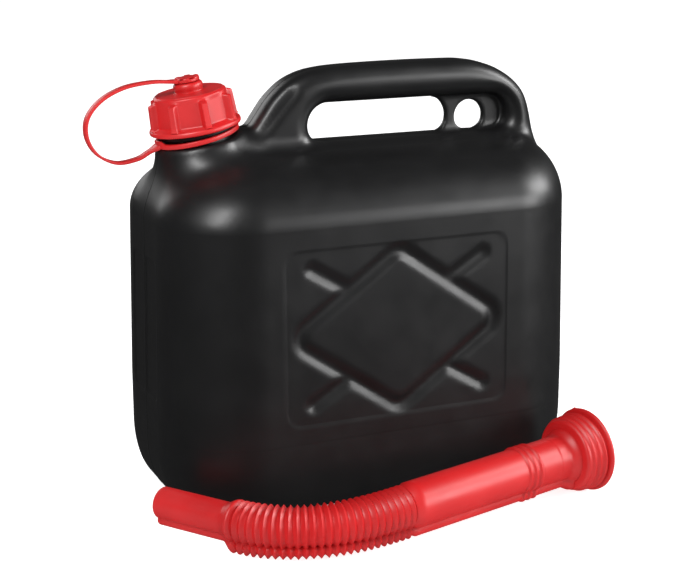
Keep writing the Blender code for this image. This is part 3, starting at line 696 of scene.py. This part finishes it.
def round_edged_ring(inner, outer, low, high, edge):
    """Closed profile of a ring with rounded outer edges."""
    cut = 0.3 * edge
    return [(inner, low + edge), (inner + edge, low), (outer - edge, low), (outer - cut, low + cut),
            (outer, low + edge), (outer, high - edge), (outer - cut, high - cut), (outer - edge, high),
            (inner + edge, high), (inner, high - edge)]


def neck_ring():
    """The strap's ring round the neck, with the raised lip where the band leaves it."""
    rings = turned_rings(round_edged_ring(22.5, 24.9, -6.6, -3.8, 0.5), even_angles(128))
    off = np.abs(np.arctan2(-rings[..., 1], -rings[..., 0]) - 0.06)
    outside = np.hypot(rings[..., 0], rings[..., 1])
    lip = smoothstep((0.36 - off) / 0.16) * smoothstep((outside - 23) / 0.8) * (rings[..., 2] > -4.9)
    rings[..., 2] += RING_LIP * lip + RING_TILT * rings[..., 0]
    return ring_mesh("strap_neck_ring", rings, closed=True, sharp=50, placement=neck_frame())


def knob_ring():
    """The strap's small ring, with the notched rim that snaps over the knob."""
    rings = turned_rings(round_edged_ring(4.75, 7.3, 26.4, 28.1, 0.3), even_angles(96))
    angles = np.arctan2(rings[..., 1], rings[..., 0])
    rim = (rings[..., 2] > 27.5) * smoothstep(0.5 + 4 * np.sin(6 * angles + 0.6))
    rings[..., 2] += 0.75 * rim
    return ring_mesh("strap_knob_ring", rings, closed=True, sharp=50, placement=neck_frame())


def band():
    """The strap's band: a flat strip that widens where it joins each ring."""
    line = smooth_line(BAND_LINE, 10)
    along = np.gradient(line, axis=0)
    along /= np.hypot(along[:, 0], along[:, 1])[:, None]
    travelled = np.concatenate([[0], np.cumsum(np.hypot(*np.diff(line, axis=0).T))])
    left = travelled[-1] - travelled
    near_neck = smoothstep((8 - left) / 8)
    half_width = BAND_HALF_WIDTH + 0.8 * smoothstep((6 - travelled) / 6) + 2.2 * near_neck ** 1.5
    half_thickness = BAND_HALF_THICKNESS + 0.25 * near_neck + 0.2 * smoothstep((5 - travelled) / 5)
    corner = radians(45) * np.array([0.5, 1, 1.5])
    rings = []
    for (x, z), (dx, dz), wide, thick in zip(line, along, half_width, half_thickness):
        ring = []
        for quarter in range(4):
            side_y = 1 if quarter in (0, 3) else -1
            side_t = 1 if quarter in (0, 1) else -1
            for angle in corner:
                turned = angle + quarter * pi / 2
                y = side_y * (wide - 0.4) + 0.4 * cos(turned)
                t = side_t * (thick - 0.4) + 0.4 * sin(turned)
                ring.append((x - dz * t, y, z + dx * t))
        rings.append(ring)
    return ring_mesh("strap_band", rings, sharp=60)


# ---------------------------------------------------------------- spout

def bend_at(into):
    """How far the centreline has turned, this far into the bellows."""
    return -BEND_TOTAL * np.clip(into / BELLOWS_LENGTH, 0, 1) ** BEND_POWER


def centreline_table():
    """Points at every small step along the bellows, in the spout's own flat frame."""
    turns = bend_at((np.arange(int(BELLOWS_LENGTH / CENTRELINE_STEP)) + 0.5) * CENTRELINE_STEP)
    moves = np.stack([np.cos(turns), np.sin(turns)], 1) * CENTRELINE_STEP
    return np.concatenate([[[TUBE_END, 0]], [TUBE_END, 0] + np.cumsum(moves, 0)])


CENTRELINE = centreline_table()


def spout_line(distance):
    """Point and heading on the centreline at this distance from the collar's mouth."""
    into = np.clip(distance - TUBE_END, 0, BELLOWS_LENGTH)
    at = into / CENTRELINE_STEP
    x = np.interp(at, np.arange(len(CENTRELINE)), CENTRELINE[:, 0]) + min(distance - TUBE_END, 0)
    y = np.interp(at, np.arange(len(CENTRELINE)), CENTRELINE[:, 1])
    turn = float(bend_at(into))
    past = max(distance - TUBE_END - BELLOWS_LENGTH, 0)
    return Vector((x + past * cos(turn), y + past * sin(turn), 0)), turn


def spout_frame():
    """Places the spout's own frame, in which it runs along x, on the floor before the can."""
    return (Matrix.Translation(Vector(SPOUT_AT)) @ Matrix.Rotation(SPOUT_HEADING, 4, "Z")
            @ Matrix.Rotation(SPOUT_SLOPE, 4, "Y"))


def section_frame(distance):
    """Frame of a cross-section in millimetres: its z runs along the spout, its -y points to the vent."""
    point, turn = spout_line(distance)
    across = Matrix(((0, 0, 1), (1, 0, 0), (0, 1, 0))).to_4x4()
    return (spout_frame() @ Matrix.Translation(point) @ Matrix.Rotation(turn, 4, "Z") @ across
            @ Matrix.Rotation(VENT_LEAN, 4, "Z"))


def section_points(distance, flat):
    """Places the points (x, y) of a cross-section on the spout."""
    placement = np.array(section_frame(distance))
    return np.asarray(flat, float) @ placement[:3, :2].T + placement[:3, 3]


def eight(radius, vent, offset, web=1.0, seam=0.0):
    """Outline of the main tube and the vent tube under it, with the web that joins them."""
    main_cut = (offset ** 2 + radius ** 2 - vent ** 2) / (2 * offset * radius)
    vent_cut = (offset ** 2 + vent ** 2 - radius ** 2) / (2 * offset * vent)
    main_half = max(acos(min(max(main_cut, -1), 1)), asin(web / radius)) + radians(1.5)
    vent_half = pi - max(acos(min(max(vent_cut, -1), 1)), asin(web / vent)) - radians(5)
    angles = main_half - pi / 2 + 2 * (pi - main_half) * np.arange(MAIN_STEPS + 1) / MAIN_STEPS
    main = np.stack([radius * np.cos(angles), radius * np.sin(angles)], 1)
    angles = -pi / 2 - vent_half + 2 * vent_half * np.arange(VENT_STEPS + 1) / VENT_STEPS
    around = vent + seam * np.exp(-((np.abs(angles + pi / 2) - VENT_SEAM_AT) / VENT_SEAM_SPREAD) ** 2)
    below = np.stack([around * np.cos(angles), around * np.sin(angles) - offset], 1)
    return np.concatenate([main, below])


def spout_length(name, outer, inner):
    """A hollow length of spout. A ring is (distance, main radius, vent radius, vent offset, seam height)."""
    rings = [section_points(d, eight(r, v, o, 1.0, seam)) for d, r, v, o, seam in outer]
    rings += [section_points(d, eight(r, v, o, 0.03)) for d, r, v, o in reversed(inner)]
    return ring_mesh(name, rings, closed=True, sharp=48)


def spout_tube():
    """The straight tube and its vent, with three raised rings and a thin step near the collar."""
    finer = {*np.arange(17, 34, 0.5), *np.arange(44, 58.5, 0.3)}
    outer = []
    for distance in sorted({*np.arange(17, TUBE_END, 3), *finer, TUBE_END}):
        off_rings = [abs(distance - TUBE_RING_AT - i * TUBE_RING_PITCH) for i in range(3)]
        ring = sum(smoothstep(1.3 - off / 1.25) for off in off_rings)
        flare = smoothstep((25.5 - distance) / 7.5)
        step = 0.22 * smoothstep((31.0 - distance) / 0.6)
        near_end = smoothstep((distance - TUBE_END + 3) / 3)
        outer.append((distance, TUBE_RADIUS + 1.05 * ring + 3.2 * flare ** 2 + step - 2.1 * near_end ** 2,
                      VENT_RADIUS + 0.9 * ring + 3.0 * flare - 1.4 * near_end ** 2, VENT_OFFSET, 0.28))
    inner = [(d, TUBE_RADIUS - 2.6, VENT_RADIUS - 1.9, VENT_OFFSET) for d in (17.0, 40, 80, TUBE_END)]
    return spout_length("spout_tube", outer, inner)


def bellows_piece(index):
    """One length of the bellows, from the root of a fold to the root of a later one."""
    start = TUBE_END + index * BELLOWS_LENGTH / BELLOWS_PIECES
    pitch = BELLOWS_LENGTH / BELLOWS_PIECES / FOLDS_PER_PIECE
    outer = []
    for i in range(FOLDS_PER_PIECE * FOLD_STEPS + 1):
        distance = start + i * pitch / FOLD_STEPS
        rise = 1 - abs(2 * (i / FOLD_STEPS % 1) - 1)
        root = 1 - (np.hypot(rise, VALLEY) - VALLEY * (1 - rise)) / np.hypot(1, VALLEY)
        crest = CREST_START + (CREST_END - CREST_START) * (distance - TUBE_END) / BELLOWS_LENGTH
        outer.append((distance, crest - FOLD_DEPTH * root, VENT_CREST - VENT_FOLD_DEPTH * root,
                      BELLOWS_VENT_OFFSET, 0))
    inner = [(start + i * BELLOWS_LENGTH / BELLOWS_PIECES / 8, BELLOWS_BORE, BELLOWS_VENT_BORE,
              BELLOWS_VENT_OFFSET) for i in range(9)]
    return spout_length("spout_bellows_folds_%d" % (index + 1), outer, inner)


def nozzle():
    """The plain end of the spout, which narrows from the last fold."""
    start = TUBE_END + BELLOWS_LENGTH
    outer = []
    for into in (0, 0.7, 1.4, 2.1, 2.8, 4, 5.2, 6.4, 7.6, 8.8, 10, 12, 16, 24, 32, 40, 48, NOZZLE_LENGTH - 2,
                 NOZZLE_LENGTH - 1, NOZZLE_LENGTH - 0.5, NOZZLE_LENGTH):
        narrow = smoothstep((into - 2.2) / 7.2)
        root = abs(1 - into / 2.1) if into < 2.1 else 0
        end = max(into - NOZZLE_LENGTH + 1, 0) ** 2
        radius = CREST_END - FOLD_DEPTH * root + (NOZZLE_RADIUS - CREST_END) * narrow - 0.5 * end
        vent = VENT_CREST - VENT_FOLD_DEPTH * root + (NOZZLE_VENT_RADIUS - VENT_CREST) * narrow - 0.4 * end
        offset = BELLOWS_VENT_OFFSET + (NOZZLE_VENT_OFFSET - BELLOWS_VENT_OFFSET) * narrow
        outer.append((start + into, radius, vent, offset, 0.22 * narrow))
    end = start + NOZZLE_LENGTH
    inner = [(start, BELLOWS_BORE, BELLOWS_VENT_BORE, BELLOWS_VENT_OFFSET),
             (start + 3, 7.4, 1.7, BELLOWS_VENT_OFFSET),
             (start + 10, NOZZLE_RADIUS - 1.2, 2.2, NOZZLE_VENT_OFFSET),
             (end - 0.4, NOZZLE_RADIUS - 1.2, 2.4, NOZZLE_VENT_OFFSET),
             (end, NOZZLE_RADIUS - 0.9, 2.6, NOZZLE_VENT_OFFSET)]
    return spout_length("spout_nozzle_end", outer, inner)


def collar():
    """The collar that screws onto the neck: its flange, the moulded thread rings and the threaded inside."""
    def radius_at(radius, along, angles):
        if radius == COLLAR_BORE:
            return radius - COLLAR_THREAD * thread_share(along, angles, 0)
        if radius == COLLAR_WALL:
            taper = 1.0 * (1 - (along - 2.5) / 14.5)
            wave = 0.5 + 0.5 * np.cos(2 * pi * ((along - 5.0) / 4.2 - angles / (2 * pi)))
            fade = smoothstep((along - 2.6) / 1.5) * smoothstep((16.2 - along) / 2)
            return radius + taper + 1.25 * wave ** 1.3 * fade
        return np.full(len(angles), radius)

    profile = [(COLLAR_BORE, along) for along in np.arange(15.6, 1.0, -0.45)]
    profile += [(19.5, 0.5), (20.0, 0.0), (24.4, 0), (24.9, 0.25), (25.15, 0.7), (25.15, 1.5), (24.8, 2.0),
                (24.0, 2.3)]
    profile += [(COLLAR_WALL, along) for along in np.arange(2.6, 16.7, 0.35)]
    profile += [(21.1, 17.1), (20.6, 17.6), (19.9, 17.9), (18.8, 18.0), (16.8, 18.1), (15.4, 18.5),
                (11.0, 18.6), (10.6, 18.2), (10.4, 16.2), (11.0, 15.9), (COLLAR_BORE - 0.6, 15.9)]
    angles = even_angles(120)
    rings = []
    for radius, along in profile:
        around = radius_at(radius, along, angles)
        if 0.4 < along < 1.6 and radius > 24.6:
            off_nubs = [np.mod(angles - nub + pi, 2 * pi) - pi for nub in FLANGE_NUBS]
            around = around + FLANGE_NUB_HEIGHT * sum(np.exp(-(off / 0.03) ** 2) for off in off_nubs)
        rings.append(section_points(along, np.stack([around * np.cos(angles), around * np.sin(angles)], 1)))
    return ring_mesh("spout_collar_moulded", rings, closed=True, sharp=45)


def seal_ring():
    """The flat ring that the spout's collar presses on the neck's rim."""
    rings = [section_points(along, radius * np.stack([np.cos(even_angles(96)), np.sin(even_angles(96))], 1))
             for radius, along in round_edged_ring(11.6, 18.0, 14.4, 15.7, 0.25)]
    return ring_mesh("spout_seal_ring", rings, closed=True, sharp=50)


def cap_seal():
    """The flat disc inside the cap's crown."""
    profile = [(1, 16.5), (17.8, 16.5), (18.1, 16.7), (18.1, 17.5), (17.8, 17.7), (1, 17.7)]
    return ring_mesh("cap_seal_disc", turned_rings(profile, even_angles(96)), sharp=50,
                     placement=neck_frame())


# ---------------------------------------------------------------- materials

def nodes_of(name, colour, roughness):
    """A material with these constants on its shader, with its node tree and the shader."""
    made = bpy.data.materials.new(name)
    made.use_nodes = True
    tree = made.node_tree
    shader = tree.nodes["Principled BSDF"]
    shader.inputs["Base Color"].default_value = (*colour, 1)
    shader.inputs["Roughness"].default_value = roughness
    return made, tree, shader


def noise(tree, scale, detail):
    """Noise that lies still on the piece it colours."""
    coordinates = tree.nodes.new("ShaderNodeTexCoord")
    made = tree.nodes.new("ShaderNodeTexNoise")
    made.inputs["Scale"].default_value = scale
    made.inputs["Detail"].default_value = detail
    tree.links.new(coordinates.outputs["Object"], made.inputs["Vector"])
    return made.outputs["Fac"]


def ranged(tree, value, low, high, from_low=0.3, from_high=0.7):
    """The value, stretched from one range onto another."""
    made = tree.nodes.new("ShaderNodeMapRange")
    made.inputs["From Min"].default_value = from_low
    made.inputs["From Max"].default_value = from_high
    made.inputs["To Min"].default_value = low
    made.inputs["To Max"].default_value = high
    tree.links.new(value, made.inputs["Value"])
    return made.outputs["Result"]


def mixed(tree, share, first, second):
    """A colour between two, by a share."""
    made = tree.nodes.new("ShaderNodeMix")
    made.data_type = "RGBA"
    made.inputs["A"].default_value = (*first, 1)
    made.inputs["B"].default_value = (*second, 1)
    tree.links.new(share, made.inputs["Factor"])
    return made.outputs["Result"]


def bumped(tree, shader, heights):
    """Chains bumps of (height socket, strength, distance in metres) into the shader's normal."""
    normal = None
    for height, strength, distance in heights:
        made = tree.nodes.new("ShaderNodeBump")
        made.inputs["Strength"].default_value = strength
        made.inputs["Distance"].default_value = distance
        tree.links.new(height, made.inputs["Height"])
        if normal:
            tree.links.new(normal, made.inputs["Normal"])
        normal = made.outputs["Normal"]
    tree.links.new(normal, shader.inputs["Normal"])


def black_plastic():
    """Black polyethylene with a fine grain and slightly wavy walls."""
    made, tree, shader = nodes_of("black_polyethylene", (0.011, 0.011, 0.012), 0.4)
    broad = noise(tree, 14, 3)
    tree.links.new(mixed(tree, ranged(tree, broad, 0, 1), *BLACK), shader.inputs["Base Color"])
    tree.links.new(ranged(tree, noise(tree, 60, 4), 0.35, 0.42), shader.inputs["Roughness"])
    bumped(tree, shader, ((noise(tree, 900, 2), 0.10, 0.0002), (noise(tree, 25, 1), 0.25, 0.0004)))
    return made


def red_plastic():
    """Red polyethylene, smoother than the black."""
    made, tree, shader = nodes_of("red_polyethylene", (0.62, 0.012, 0.014), 0.36)
    broad = noise(tree, 30, 3)
    tree.links.new(mixed(tree, ranged(tree, broad, 0, 1), *RED), shader.inputs["Base Color"])
    tree.links.new(ranged(tree, noise(tree, 90, 4), 0.38, 0.45), shader.inputs["Roughness"])
    bumped(tree, shader, ((noise(tree, 1100, 2), 0.08, 0.0002), (noise(tree, 60, 1), 0.15, 0.0003)))
    return made


def seal_rubber():
    """Matt black rubber, a little uneven in its sheen."""
    made, tree, shader = nodes_of("seal_rubber", (0.03, 0.03, 0.03), 0.75)
    tree.links.new(ranged(tree, noise(tree, 200, 3), 0.68, 0.82), shader.inputs["Roughness"])
    return made


# ---------------------------------------------------------------- floor, light and camera

def area_light(name, place, target, size, power):
    """A soft rectangular light that faces its target."""
    light = bpy.data.lights.new(name, "AREA")
    light.shape = "RECTANGLE"
    light.size, light.size_y = size
    light.energy = power
    made = bpy.data.objects.new(name, light)
    bpy.context.scene.collection.objects.link(made)
    made.location = place
    made.rotation_euler = (Vector(target) - Vector(place)).to_track_quat("-Z", "Y").to_euler()


def studio():
    """White surroundings that the camera sees at full strength and the pieces see dimmed, and the lights."""
    world = bpy.data.worlds.new("studio")
    bpy.context.scene.world = world
    world.use_nodes = True
    tree = world.node_tree
    background = tree.nodes["Background"]
    path = tree.nodes.new("ShaderNodeLightPath")
    add = tree.nodes.new("ShaderNodeMath")
    add.operation = "ADD"
    seen = ranged(tree, path.outputs["Is Camera Ray"], DIFFUSE_LEVEL, 1.0, 0, 1)
    mirrored = ranged(tree, path.outputs["Is Glossy Ray"], 0, GLOSSY_LEVEL - DIFFUSE_LEVEL, 0, 1)
    tree.links.new(seen, add.inputs[0])
    tree.links.new(mirrored, add.inputs[1])
    tree.links.new(add.outputs["Value"], background.inputs["Strength"])
    background.inputs["Color"].default_value = (1, 1, 1, 1)
    for light in LIGHTS:
        area_light(*light)


def floor():
    """The pale floor, which pieces don't mirror."""
    bpy.ops.mesh.primitive_plane_add(size=FLOOR_SIZE, location=(0, 0, FLOOR_Z))
    made = bpy.context.object
    made.name = "floor"
    surface, tree, shader = nodes_of("floor", (0.62, 0.62, 0.62), 0.7)
    shader.inputs["Emission Color"].default_value = (1, 1, 1, 1)
    shader.inputs["Emission Strength"].default_value = FLOOR_GLOW
    made.data.materials.append(surface)
    made.visible_glossy = False
    return made


def camera():
    """The camera and the plain view transform."""
    forward = Vector((sin(CAMERA_HEADING) * cos(CAMERA_PITCH), cos(CAMERA_HEADING) * cos(CAMERA_PITCH),
                      -sin(CAMERA_PITCH)))
    data = bpy.data.cameras.new("camera")
    data.lens = CAMERA_LENS
    data.shift_x, data.shift_y = CAMERA_SHIFT
    made = bpy.data.objects.new("camera", data)
    bpy.context.scene.collection.objects.link(made)
    made.location = Vector(CAMERA_TARGET) - forward * CAMERA_DISTANCE
    made.rotation_euler = forward.to_track_quat("-Z", "Y").to_euler()
    bpy.context.scene.camera = made
    bpy.context.scene.view_settings.view_transform = "Standard"


def wear(piece, material, slot, body=None, *nodes):
    """Gives a piece its material and, if it rides on a body, its place and the nodes it stands for."""
    piece.data.materials.clear()
    piece.data.materials.append(material)
    if body:
        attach(piece, body)
    if nodes:
        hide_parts(*nodes)
    return piece


def main():
    black, red, rubber = black_plastic(), red_plastic(), seal_rubber()
    for name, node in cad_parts.items():
        node.data.materials.clear()
        node.data.materials.append(black if name == "can_body" else rubber if "seal" in name else red)
    wear(can(), black, "black_plastic", "can", "can_body")
    wear(neck(), black, "black_plastic", "can")
    wear(cap_shell(), red, "red_plastic", "cap", "cap_shell")
    wear(cap_seal(), rubber, "seal_rubber", "seal", "cap_seal")
    wear(neck_ring(), red, "red_plastic", "strap", "tether_neck_ring")
    wear(knob_ring(), red, "red_plastic", "strap_top", "tether_knob_ring")
    strap = wear(band(), red, "red_plastic")
    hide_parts("tether_band")
    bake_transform(strap)
    wear(collar(), red, "red_plastic", "spout", "spout_collar")
    wear(spout_tube(), red, "red_plastic", "spout")
    wear(seal_ring(), rubber, "seal_rubber", "spout", "spout_seal")
    for index in range(BELLOWS_PIECES):
        piece = wear(bellows_piece(index), red, "red_plastic")
        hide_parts("spout_bellows_%d" % (index + 1))
        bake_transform(piece)
    wear(nozzle(), red, "red_plastic", "spout_end", "spout_nozzle")
    floor()
    studio()
    camera()


main()
